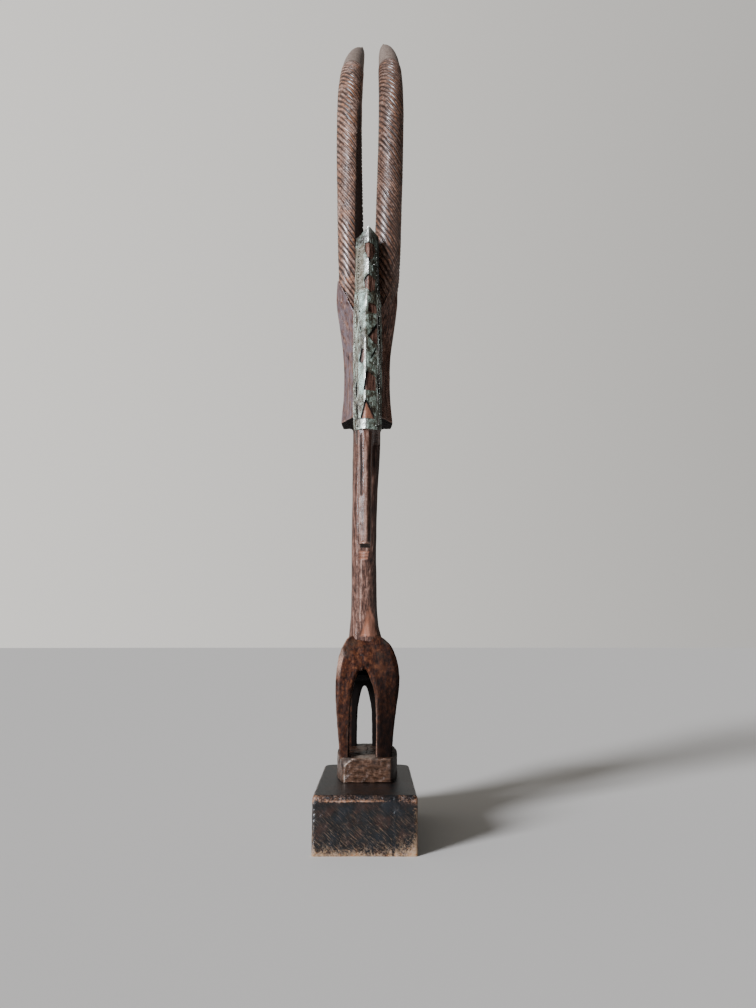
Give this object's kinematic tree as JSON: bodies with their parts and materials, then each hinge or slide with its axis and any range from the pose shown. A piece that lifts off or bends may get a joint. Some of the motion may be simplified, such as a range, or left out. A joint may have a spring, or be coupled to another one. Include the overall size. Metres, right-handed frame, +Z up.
{
  "type": "wooden antelope sculpture",
  "caption": "Upright carved antelope with long ringed swept-back horns, a metal-faced narrow head, an openwork mane and four legs, standing on a block plinth.",
  "frame": {"origin": "middle of the plinth's flat underside", "axes": "+Z up, the antelope faces -Y, +X to its viewer's right"},
  "size_m": [0.103, 0.2968, 1.0562],
  "materials": {
    "black_painted_wood": "black paint, satin, worn through to bare wood at the edges and scratched",
    "carved_wood": "stained reddish brown hardwood with a waxed sheen, mottled and darkened",
    "patinated_sheet_metal": "thin sheet with a grey-green patina, rubbed bright along the ridge"
  },
  "bodies": {
    "root": {"plinth": "black_painted_wood", "antelope_carving": "carved_wood", "face_plate": "patinated_sheet_metal"}
  },
  "joints": []
}
